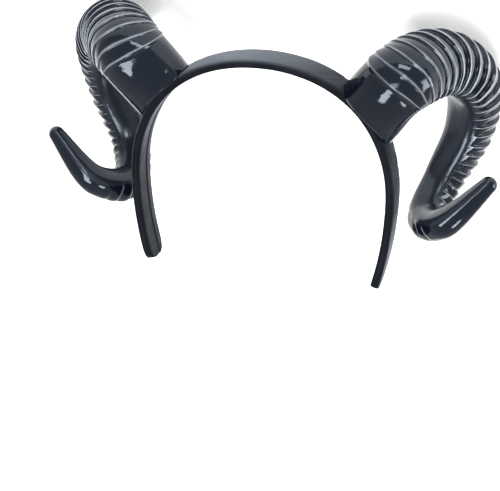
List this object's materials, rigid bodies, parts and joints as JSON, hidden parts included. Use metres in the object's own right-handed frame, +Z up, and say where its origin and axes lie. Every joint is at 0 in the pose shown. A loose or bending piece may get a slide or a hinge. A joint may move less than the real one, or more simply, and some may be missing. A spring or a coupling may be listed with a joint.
{
  "type": "ram horns headband",
  "caption": "Cloth-covered alice band with a curled, ribbed ram's horn on each side, for a costume, stored lying on the backs of its horns.",
  "frame": {"origin": "centre of the bounding box's base, on the floor under the headband", "axes": "+X across the head, towards the picture's right, which is the wearer's left; +Y towards the top of the hoop as the headband lies; +Z up from the floor"},
  "size_m": [0.2614, 0.1418, 0.1007],
  "materials": {
    "band_cloth": "black satin, drawn tight over the hoop",
    "horn_plastic": "glossy black"
  },
  "bodies": {
    "root": {"hair_band": "band_cloth", "horn_right": "horn_plastic", "horn_left": "horn_plastic"}
  },
  "joints": []
}
